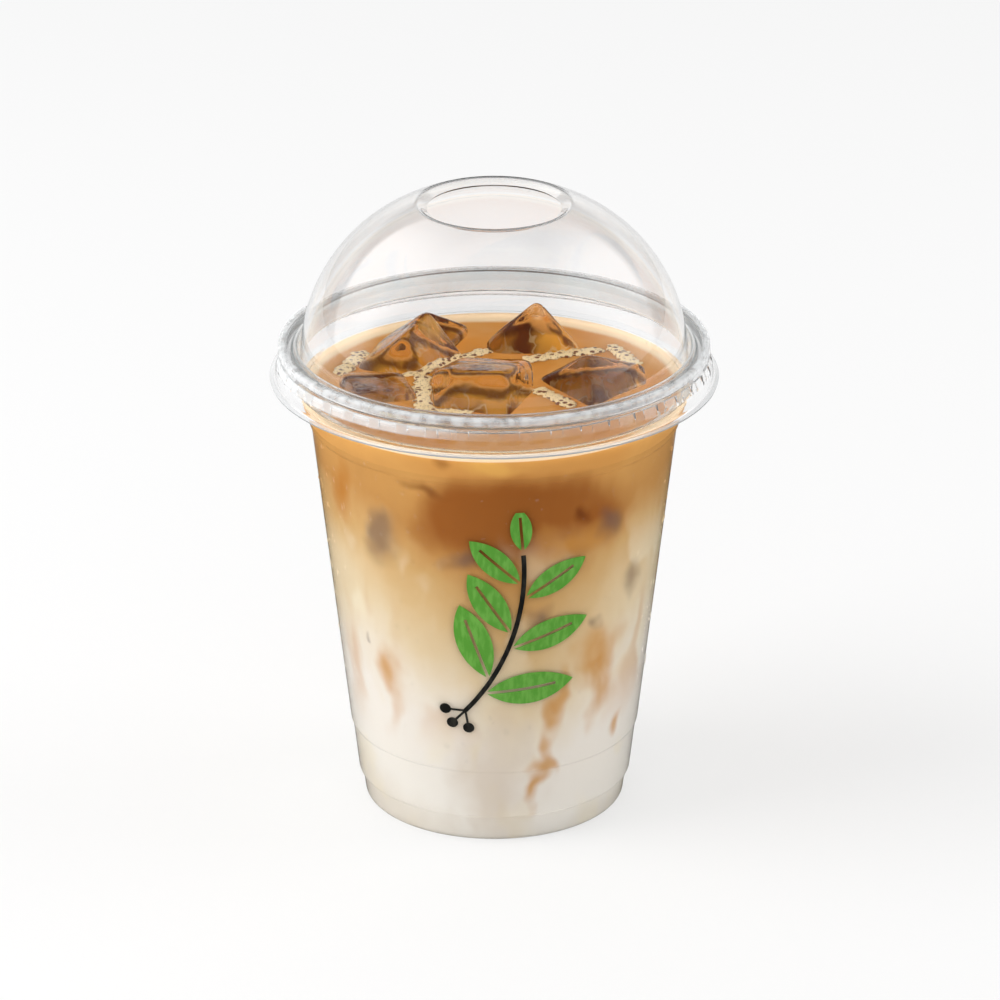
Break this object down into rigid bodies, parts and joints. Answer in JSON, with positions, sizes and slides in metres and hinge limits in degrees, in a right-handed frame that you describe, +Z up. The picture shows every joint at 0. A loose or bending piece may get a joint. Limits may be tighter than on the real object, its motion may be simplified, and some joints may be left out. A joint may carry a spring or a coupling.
{
  "type": "plastic cup with lid",
  "caption": "Clear tapered cold-drink cup with a domed clip-on lid, filled with iced milk coffee and ice blocks, with a printed leaf sprig.",
  "frame": {"origin": "on the table, under the middle of the cup's foot", "axes": "+Z up along the cup's axis, -Y towards the printed front"},
  "size_m": [0.1038, 0.1038, 0.1471],
  "materials": {
    "cup_plastic": "gloss",
    "lid_plastic": "gloss",
    "milk_drink": "gloss",
    "froth": "satin",
    "green_ink": "satin",
    "black_ink": "satin",
    "ice": "gloss"
  },
  "bodies": {
    "cup": {"cup": "cup_plastic", "drink": "milk_drink", "froth": "froth", "print_leaves": "green_ink", "print_stem": "black_ink", "ice_left": "ice", "ice_back_left": "ice", "ice_back_right": "ice", "ice_middle": "ice", "ice_right": "ice", "ice_front_left": "ice", "ice_front": "ice", "ice_sunk_left": "ice", "ice_sunk_middle": "ice", "ice_sunk_right": "ice", "ice_sunk_far_right": "ice", "ice_sunk_low": "ice"},
    "lid": {"lid": "lid_plastic"}
  },
  "joints": [
    {"name": "lid_lift", "type": "slide", "parent": "cup", "child": "lid", "axis": [0, 0, 1], "range_m": [0, 0.06]}
  ]
}
